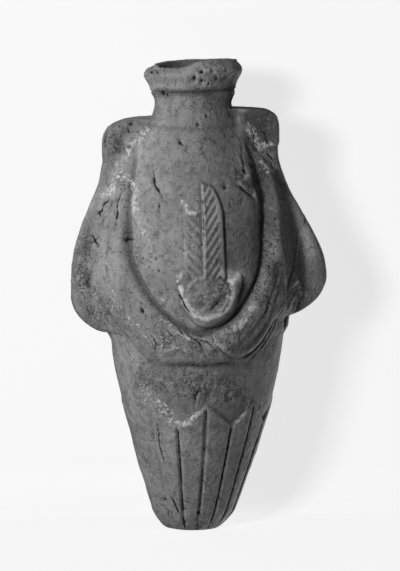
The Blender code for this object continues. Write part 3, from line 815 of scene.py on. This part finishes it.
# rough, pitted stretches: seen places, half width
roughPlaces = [
    ((-36, 95), (-37.5, 84.5), (-33.5, 76), (-30, 71), 5),
    ((34, 83.5), (36.5, 79), (33, 75), 3.5),
    ((5, 155.5), (14.5, 154.5), 3),
    ((-16, 155), (-10, 156.5), 1.8),
    ((-10, 64), (2, 61), (14, 66), 4.5),
    ((17, 70), (25, 80), (27, 92), (26, 106), 4),
    ((21, 136), (22.5, 126), (25.5, 114), 4),
    ((14.5, 120.5), (20, 115), 2.5),
    ((1, 79), (7, 79), 5.5),
    ((-16, 50), (0, 50), (14, 46), 5),
    ((-30, 138), (-26, 130), 4),
    ((15, 148), (14, 141), 2.5),
]

weather = {
    "seed": 7,
    "frontEdge": (-0.05, 0.15),
    "lumps": (0.22, 11, 11, 2),
    "grain": (0.07, 2.6, 31, 3),
    "roughGrain": 0.38,
    "roughFade": (0.4, 1.3),
    "wanders": ((0.35, 2.2, 51), (0.25, 0.9, 52)),
    "crackTaper": (0.3, 0.2, 0.5),
    "crackShade": 2.4,
    "pitDepth": 1.2,
    "pitShade": 1.15,
    "pitBlack": 0.5,
    "pitShake": (0.8, 1.2),
    "pitStretch": 0.8,
    "poreCount": 200,
    "poreSpan": (-75, 75),
    "poreHeights": (2, 158),
    "poreRadius": (0.2, 0.55),
    "poreSquash": (0.5, 1),
    "poreLean": (-0.8, 0.8),
    "poreShade": (0.3, 0.8),
    "poreDepth": 0.8,
    "unrollRadius": 24,
    "washFade": (0.2, 1.5),
    "crustFade": (0.1, 1.6),
    "crustRise": 0.1,
    "leafShade": 1.3,
    "leafShake": (0.85, 0.4, 1.2, 61),
    "blurSteps": 12,
    "cavityDepth": 0.38,
    "edgeHeight": 0.35,
}


def crackMarks(across, above, wander, front):
    # depth and painted shade of each crack: a bell and a straight slope across it, both weaker towards its
    # ends
    for *line, half, depth in cracks:
        off = toLine(across + wander, above - wander, line)
        (x0, y0), (x1, y1) = line[0], line[-1]
        fromMiddle = np.hypot(across - (x0 + x1) / 2, above - (y0 + y1) / 2) / math.hypot(x1 - x0, y1 - y0)
        strength = (1 - step(weather["crackTaper"], fromMiddle)) * front
        yield depth * bell(0, half, off) * strength, slope(weather["crackShade"] * half, 0, off) * strength


def pitMarks(across, above, wander, front):
    # depth and painted shade of each pit: a bell, drawn out upwards and shaken, and blacker where it is
    # deeper
    sideways, upwards = weather["pitShake"]
    for x, y, radius, depth in pits:
        off = np.hypot(across - x + sideways * wander, (above - y) * weather["pitStretch"] - upwards * wander)
        dip = bell(0, radius, off) * front
        shade = weather["pitShade"] * min(depth / weather["pitBlack"], 1)
        yield weather["pitDepth"] * depth * dip, np.clip(shade * dip, 0, 1)


def poreMarks(points, shell):
    # depth and painted shade of small pores all over the unrolled skin, slanted and squashed bells
    rng = np.random.default_rng(weather["seed"])
    around = np.arctan2(points[..., 0], -points[..., 1]) * weather["unrollRadius"]
    for _ in range(weather["poreCount"]):
        dx = around - rng.uniform(*weather["poreSpan"])
        dy = points[..., 2] - rng.uniform(*weather["poreHeights"])
        radius = mix(*weather["poreRadius"], rng.uniform(0, 1) ** 3)
        squash = rng.uniform(*weather["poreSquash"])
        lean = rng.uniform(*weather["poreLean"])
        dip = bell(0, radius, np.hypot(dx + lean * dy, dy * squash)) * shell
        yield weather["poreDepth"] * radius * dip, rng.uniform(*weather["poreShade"]) * dip


def weathering(points, normals, shell):
    # height along the normal, and the masks that the clay reads. Marks at seen places stay on the front,
    # and most of them wander a bit off their lines
    right, up, back = viewAxes()
    across, above = points @ right, points @ up
    front = ease(*weather["frontEdge"], normals @ back) * shell
    wander = sum(amount * softNoise(points, size, seed) for amount, size, seed in weather["wanders"])
    rough, markShade, tone, crust = (np.zeros(across.shape) for _ in range(4))
    for *line, half in roughPlaces:
        rough = np.maximum(rough, stroke(across, above, line, half, weather["roughFade"]) * front)
    for *line, half, amount in stainsAndPaintedLight:
        tone += amount * stroke(across + wander, above - wander, line, half, weather["washFade"]) * front
    for *line, half, strength in crusts:
        spread = stroke(across + wander, above - wander, line, half, weather["crustFade"])
        crust = np.maximum(crust, strength * spread * front)
    lump, *lumps = weather["lumps"]
    fine, *grains = weather["grain"]
    height = lump * roughNoise(points, *lumps) + weather["crustRise"] * crust
    height += (fine + weather["roughGrain"] * rough) * roughNoise(points, *grains)
    seenMarks = (*crackMarks(across, above, wander, front), *pitMarks(across, above, wander, front))
    for depth, shade in (*seenMarks, *poreMarks(points, shell)):
        height -= depth
        markShade = np.maximum(markShade, shade)
    # the mask of the marks' darkness is painted shade in the cracks, pits and pores
    masks = {"markShade": markShade, "crust": crust, "rough": rough}
    # the two tone masks hold stains and painted shade below 0, and paler clay and painted highlights above 0
    masks["stainAndShade"] = np.clip(-tone, 0, 1)
    masks["palerAndLit"] = np.clip(tone, 0, 1)
    return height * shell, masks


def blurred(field, steps):
    # each step averages a value with its four neighbours on the grid
    for _ in range(steps):
        beside = (np.roll(field, 1, axis=1) + np.roll(field, -1, axis=1)) / 2
        padded = np.pad(field, ((1, 1), (0, 0)), mode="edge")
        field = (2 * field + beside + (padded[2:] + padded[:-2]) / 2) / 4
    return field


def skinMesh(points):
    # quads between the rows, and a fan of triangles at the hollow's floor and at the base
    rows, columns, _ = points.shape
    low = np.array([[0, 0, body["floor"]]])
    base = np.array([[0, 0, 0]])
    vertices = np.concatenate([low, points.reshape(-1, 3), base]) * mm
    start = 1 + np.arange(rows - 1)[:, None] * columns
    ring = np.arange(columns)
    onward = (ring + 1) % columns
    nextRow = start + columns
    quads = np.stack([start + ring, start + onward, nextRow + onward, nextRow + ring], axis=-1)
    last = 1 + (rows - 1) * columns
    floorFan = np.stack([np.zeros(columns, int), 1 + onward, 1 + ring], axis=-1)
    baseFan = np.stack([np.full(columns, len(vertices) - 1), last + ring, last + onward], axis=-1)
    faces = [*quads.reshape(-1, 4).tolist(), *floorFan.tolist(), *baseFan.tolist()]
    mesh = bpy.data.meshes.new("claySkin")
    mesh.from_pydata(vertices.tolist(), [], faces)
    mesh.shade_smooth()
    return mesh


def placed(name, data):
    # a new object in the scene
    thing = bpy.data.objects.new(name, data)
    scene.collection.objects.link(thing)
    return thing


def makeVessel(clay):
    # the carved grid, moved along its normals by the weathering. Cavities and edges are where its relief lies
    # below or above its own blurred copy; cavities get painted shade and edges get painted highlights
    azimuth = spacedBy(columnDensity, -180, 180, grid["columns"], closed=False)
    radius, height, outside = skinRows()
    points, turn, z, shell = carvedPoints(radius, height, outside, azimuth)
    relief, masks = weathering(points, gridNormals(points), shell)
    # painted shade in the leaf grooves, shaken by noise, joins the painted shade of the marks
    base, change, size, seed = weather["leafShake"]
    leafShade = calyx(turn, z)[1] ** weather["leafShade"] * (base + change * softNoise(points, size, seed))
    masks["markShade"] = np.maximum(masks["markShade"], leafShade * shell)
    total = carving(turn, z) * shell + relief
    hollow = blurred(total, weather["blurSteps"]) - total
    masks["cavityShade"] = np.clip(hollow / weather["cavityDepth"], 0, 1)
    masks["edge"] = np.clip(-hollow / weather["edgeHeight"], 0, 1)
    # painted shade over the whole inside of the hollow
    masks["inside"] = 1 - shell
    mesh = skinMesh(points + gridNormals(points) * relief[..., None])
    # each mask has one value for each vertex of the grid, and 0 at the two poles
    for name, values in masks.items():
        mask = mesh.attributes.new(name, "FLOAT", "POINT")
        mask.data.foreach_set("value", np.concatenate([[0], values.ravel(), [0]]).astype(np.float32))
    mesh.materials.append(clay)
    return placed("claySkin", mesh)


# Clay

clayLook = {
    "colour": (0.28, 0.28, 0.28, 1),
    # pale clay, and painted highlights on raised places
    "paleAndHighlight": (0.38, 0.38, 0.38, 1),
    # darker clay mottling and stains, and painted shade in hollows and valleys
    "sootAndShade": (0.12, 0.12, 0.12, 1),
    "salt": (0.58, 0.58, 0.58, 1),
    # paler clay, and painted light towards the top and on lit places
    "paleClayAndLight": (0.6, 0.6, 0.6, 1),
    # black of scratches and flecks, and of painted shade in marks and inside the mouth
    "blackFlecksAndShade": (0.03, 0.03, 0.03, 1),
    "roughness": 0.9,
    "shine": 0.25,
    "wipedStretch": (1, 1, 0.12),
    "scratchWidth": 0.02,
    "scratchPatches": (0.55, 0.63),
    "scratchesOnRough": 0.12,
    "flecksOnRough": 0.05,
    "flecksOnBlotch": 0.2,
    "crustShare": 0.36,
    "raggedness": 0.5,
    "bump": 1,
    "bumpHeight": 0.8,
    "gritBump": 0.2,
    "gritBumpOnRough": 0.4,
    "speckBump": 0.3,
    "smearBump": 0.5,
    "scratchBump": 0.3,
}

# noises: scale, detail, roughness and swirl
clayNoises = {
    "broad": (60, 3, 0.5, 0),
    "wiped": (420, 3, 0.5, 0),
    "blotch": (300, 4, 0.5, 0),
    "speck": (1500, 3, 0.5, 0),
    "grit": (800, 4, 0.5, 0),
    "fluff": (800, 7, 0.68, 0),
    "fine": (2600, 2, 0.5, 0),
    "smear": (240, 5, 0.5, 2.2),
    "swirl": (380, 3, 0.5, 1.2),
    "island": (170, 3, 0.5, 0),
}

# layers over the plain colour, the lowest first: the value at the layer's edge and well inside it, the
# layer's strength and its colour. A span from 0 to 1 takes a value as it is, and the others ease it.
clayLayers = {
    "broad": (0.35, 0.7, 1, "paleAndHighlight"),
    "wiped": (0.45, 0.75, 0.35, "sootAndShade"),
    "blotch": (0.52, 0.75, 0.5, "sootAndShade"),
    # painted shade in the hollows of the relief
    "cavityShade": (0, 1, 0.8, "sootAndShade"),
    # painted highlight on the raised places of the relief
    "edge": (0, 1, 0.7, "paleAndHighlight"),
    "fine": (0.45, 0.65, 0.3, "sootAndShade"),
    # painted light: the clay is lighter towards the top
    "height": (134 * mm, 156 * mm, 0.15, "paleClayAndLight"),
    # stains and painted shade
    "stainAndShade": (0, 1, 1, "sootAndShade"),
    # paler clay and painted highlights
    "palerAndLit": (0, 1, 1, "paleClayAndLight"),
    "smear": (0.48, 0.7, 0.45, "sootAndShade"),
    "scratches": (0, 1, 0.45, "blackFlecksAndShade"),
    "flecks": (0.75, 0.82, 0.85, "blackFlecksAndShade"),
    "grit": (0.4, 0.3, 0.5, "paleAndHighlight"),
    "salt": (0.73, 0.87, 1, "salt"),
    # painted shade of the marks, with ragged rims
    "ragged": (0.55, 0.8, 1, "blackFlecksAndShade"),
    # painted shade inside the mouth
    "inside": (0, 1, 0.55, "blackFlecksAndShade"),
}


def addNode(tree, kind, inputs, **settings):
    # each input takes another node's output, or a plain value
    node = tree.nodes.new(kind)
    for name, value in settings.items():
        setattr(node, name, value)
    for name, source in inputs.items():
        if isinstance(source, (int, float, tuple)):
            node.inputs[name].default_value = source
        else:
            tree.links.new(source, node.inputs[name])
    return node


def layOut(tree):
    # columns of eight nodes, in the order in which they were added, with the tree's own two at the end
    first, second, *added = tree.nodes
    for number, node in enumerate([*added, first, second]):
        node.location = (260 * (number // 8), -360 * (number % 8))


def ramp(tree, value, low, high, top=1):
    # 0 at low and the top at high, with a straight slope from 0 to 1 and otherwise a smooth one
    kind = "LINEAR" if (low, high) == (0, 1) else "SMOOTHSTEP"
    ends = {"Value": value, "From Min": low, "From Max": high, "To Max": top}
    return addNode(tree, "ShaderNodeMapRange", ends, interpolation_type=kind).outputs["Result"]


def combine(tree, operation, first, second):
    # the result is held between 0 and 1
    inputs = {0: first, 1: second}
    return addNode(tree, "ShaderNodeMath", inputs, operation=operation, use_clamp=True).outputs[0]


def add(tree, first, second, amount=1):
    # the first value and an amount of the second
    if amount != 1:
        second = combine(tree, "MULTIPLY", second, amount)
    return combine(tree, "ADD", first, second)


def clayValues(tree):
    # all that the layers and the bump read: noises, the skin's masks and what is worked out from both
    where = addNode(tree, "ShaderNodeTexCoord", {}).outputs["Object"]
    inputs = {"Vector": where, "Scale": clayLook["wipedStretch"]}
    stretched = addNode(tree, "ShaderNodeMapping", inputs).outputs["Vector"]
    values = {"height": addNode(tree, "ShaderNodeSeparateXYZ", {0: where}).outputs["Z"]}
    for name, settings in clayNoises.items():
        inputs = {"Vector": stretched if name == "wiped" else where}
        inputs.update(zip(("Scale", "Detail", "Roughness", "Distortion"), settings))
        values[name] = addNode(tree, "ShaderNodeTexNoise", inputs).outputs["Fac"]
    for name in ("rough", "cavityShade", "edge", "stainAndShade", "palerAndLit", "crust", "markShade", "inside"):
        values[name] = addNode(tree, "ShaderNodeAttribute", {}, attribute_name=name).outputs["Fac"]
    # scratches are the thin bands where the swirled noise passes its middle value, on islands
    swirl = values["swirl"]
    fromMiddle = add(tree, combine(tree, "SUBTRACT", swirl, 0.5), combine(tree, "SUBTRACT", 0.5, swirl))
    bands = ramp(tree, fromMiddle, clayLook["scratchWidth"], 0)
    islands = add(tree, values["island"], values["rough"], clayLook["scratchesOnRough"])
    islands = ramp(tree, islands, *clayLook["scratchPatches"])
    values["scratches"] = combine(tree, "MULTIPLY", bands, islands)
    # flecks lie where the fine noise is high, and closer together on rough places and on blotches
    flecks = add(tree, values["speck"], values["rough"], clayLook["flecksOnRough"])
    values["flecks"] = add(tree, flecks, values["blotch"], clayLook["flecksOnBlotch"])
    # salt breaks up into specks where its mask is weak, and the painted shade of cracks, pits, pores and leaf
    # grooves has ragged rims
    values["salt"] = add(tree, values["fluff"], values["crust"], clayLook["crustShare"])
    rims = add(tree, values["grit"], clayLook["raggedness"])
    values["ragged"] = combine(tree, "MULTIPLY", values["markShade"], rims)
    return values


def makeClay():
    material = bpy.data.materials.new("weatheredClay")
    material.use_nodes = True
    tree = material.node_tree
    shader = tree.nodes["Principled BSDF"]
    shader.inputs["Roughness"].default_value = clayLook["roughness"]
    shader.inputs["Specular IOR Level"].default_value = clayLook["shine"]
    values = clayValues(tree)
    colour = clayLook["colour"]
    for name, (low, high, strength, paint) in clayLayers.items():
        inputs = {"Factor": ramp(tree, values[name], low, high, strength), 6: colour, 7: clayLook[paint]}
        colour = addNode(tree, "ShaderNodeMix", inputs, data_type="RGBA").outputs[2]
    gritBump = combine(tree, "MULTIPLY", values["rough"], clayLook["gritBumpOnRough"])
    relief = combine(tree, "MULTIPLY", values["grit"], add(tree, gritBump, clayLook["gritBump"]))
    relief = add(tree, relief, values["speck"], clayLook["speckBump"])
    relief = add(tree, relief, values["smear"], clayLook["smearBump"])
    sunk = combine(tree, "MULTIPLY", values["scratches"], clayLook["scratchBump"])
    height = combine(tree, "SUBTRACT", relief, sunk)
    inputs = {"Strength": clayLook["bump"], "Distance": clayLook["bumpHeight"] * mm, "Height": height}
    bumps = addNode(tree, "ShaderNodeBump", inputs)
    tree.links.new(colour, shader.inputs["Base Color"])
    tree.links.new(bumps.outputs["Normal"], shader.inputs["Normal"])
    layOut(tree)
    print("clay ready:", len(tree.nodes), "nodes")
    return material


# The studio: a pale sheet that rises close behind the flask. It shows its shadow and is clear from behind.

studio = {
    "paper": (0.33, 0.33, 0.33, 1),
    "glow": 0.77,
    "floorGlow": 0.062,
    "floorGlowFall": 6,
    "behind": 34,
    "bendRadius": 16,
    "bendSteps": 16,
    "reach": 2400,
    "top": 1400,
    "lampAim": 85,
    "world": 0.05,
    "sky": 0.945,
    "gamma": 0.85,
}

# each lamp: azimuth, elevation, distance, size and power, and what it lights
lamps = {
    "sideLamp": (-74, 10, 900, 420, 3.6, "flask"),
    "frontLamp": (-32, 14, 1500, 280, 12.2, "all"),
    "topLamp": (-30, 64, 900, 500, 1.5, "flask"),
    "backLamp": (128, -36, 900, 500, 8.5, "flask"),
}


def makePaper():
    # matt paper that glows for the camera, a bit more where it lies flat, and is clear from behind
    paper = bpy.data.materials.new("palePaper")
    paper.use_nodes = True
    tree = paper.node_tree
    shader = tree.nodes["Principled BSDF"]
    shader.inputs["Base Color"].default_value = studio["paper"]
    shader.inputs["Roughness"].default_value = 1
    shader.inputs["Specular IOR Level"].default_value = 0
    seenRay = addNode(tree, "ShaderNodeLightPath", {}).outputs["Is Camera Ray"]
    side = addNode(tree, "ShaderNodeNewGeometry", {})
    facing = addNode(tree, "ShaderNodeSeparateXYZ", {0: side.outputs["Normal"]})
    level = combine(tree, "POWER", facing.outputs["Z"], studio["floorGlowFall"])
    shine = combine(tree, "ADD", combine(tree, "MULTIPLY", level, studio["floorGlow"]), studio["glow"])
    glow = addNode(tree, "ShaderNodeEmission", {"Strength": combine(tree, "MULTIPLY", seenRay, shine)})
    both = addNode(tree, "ShaderNodeAddShader", {0: glow.outputs[0], 1: shader.outputs[0]})
    clear = addNode(tree, "ShaderNodeBsdfTransparent", {})
    inputs = {0: side.outputs["Backfacing"], 1: both.outputs[0], 2: clear.outputs[0]}
    seen = addNode(tree, "ShaderNodeMixShader", inputs)
    tree.links.new(seen.outputs[0], tree.nodes["Material Output"].inputs["Surface"])
    layOut(tree)
    return paper


def makeSheet():
    # the profile is a floor line, a quarter circle and a wall line, carried sideways
    turn = np.linspace(0, math.pi / 2, studio["bendSteps"] + 1)
    bend = studio["bendRadius"]
    wall, reach = studio["behind"], studio["reach"]
    y = np.concatenate([[-reach], wall - bend + bend * np.sin(turn), [wall]])
    z = np.concatenate([[0], bend - bend * np.cos(turn), [studio["top"]]])
    x = np.repeat([-reach, reach], len(y))
    points = np.stack([x, np.tile(y, 2), np.tile(z, 2)], axis=-1) * mm
    faces = [(i, i + len(y), i + len(y) + 1, i + 1) for i in range(len(y) - 1)]
    mesh = bpy.data.meshes.new("paleSheet")
    mesh.from_pydata(points.tolist(), [], faces)
    mesh.shade_smooth()
    mesh.materials.append(makePaper())
    sheet = placed("paleSheet", mesh)
    sheet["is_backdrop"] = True


def makeCamera():
    # the axis and the base land on their pixels of the frame
    right, up, back = (Vector(axis) for axis in viewAxes())
    width, height = view["framePixels"]
    scale = view["pixelsPerMm"]
    sideways = (width / 2 - view["axisPixel"]) / scale
    upward = (view["basePixel"] - height / 2) / scale - view["aimHeight"] * up.z
    aim = (Vector((0, 0, view["aimHeight"])) + right * sideways + up * upward) * mm
    camera = placed("camera", bpy.data.cameras.new("camera"))
    camera.location = aim + back * view["distance"] * mm
    camera.rotation_euler = back.to_track_quat("Z", "Y").to_euler()
    camera.data.sensor_width = view["sensorWidth"]
    camera.data.lens = view["sensorWidth"] * view["distance"] / (height / scale)
    camera.data.clip_end = view["farthest"] * mm
    scene.camera = camera


def makeLights(flask):
    # an area lamp on each bearing, turned to the flask; only the front lamp lights the sheet too
    litFlask = bpy.data.collections.new("litFlask")
    litFlask.objects.link(flask)
    aim = Vector((0, 0, studio["lampAim"])) * mm
    for name, (azimuth, elevation, distance, size, power, group) in lamps.items():
        out = Vector(outward(azimuth, elevation))
        lamp = placed(name, bpy.data.lights.new(name, "AREA"))
        lamp.data.size = size * mm
        lamp.data.energy = power
        lamp.location = aim + out * distance * mm
        lamp.rotation_euler = out.to_track_quat("Z", "Y").to_euler()
        if group == "flask":
            lamp.light_linking.receiver_collection = litFlask
            lamp.light_linking.blocker_collection = litFlask


def makeWorld():
    # white, bright for the camera and weak as a light
    world = bpy.data.worlds.new("studioWorld")
    world.use_nodes = True
    tree = world.node_tree
    seenRay = addNode(tree, "ShaderNodeLightPath", {}).outputs["Is Camera Ray"]
    inputs = {"Value": seenRay, "To Min": studio["world"], "To Max": studio["sky"]}
    strength = addNode(tree, "ShaderNodeMapRange", inputs)
    background = tree.nodes["Background"]
    background.inputs["Color"].default_value = (1, 1, 1, 1)
    tree.links.new(strength.outputs["Result"], background.inputs["Strength"])
    layOut(tree)
    scene.world = world
    settings = scene.view_settings
    settings.view_transform = "Standard"
    settings.gamma = studio["gamma"]


makeCamera()
makeSheet()
skin = makeVessel(makeClay())
makeLights(skin)
makeWorld()
print("studio ready:", len(lamps), "lamps")
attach(skin, "root")
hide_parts("vessel")
print("vessel ready:", len(skin.data.polygons), "faces")
plain = [[list(map(float, corner)) for corner in box] for box in (cadBox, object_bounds())]
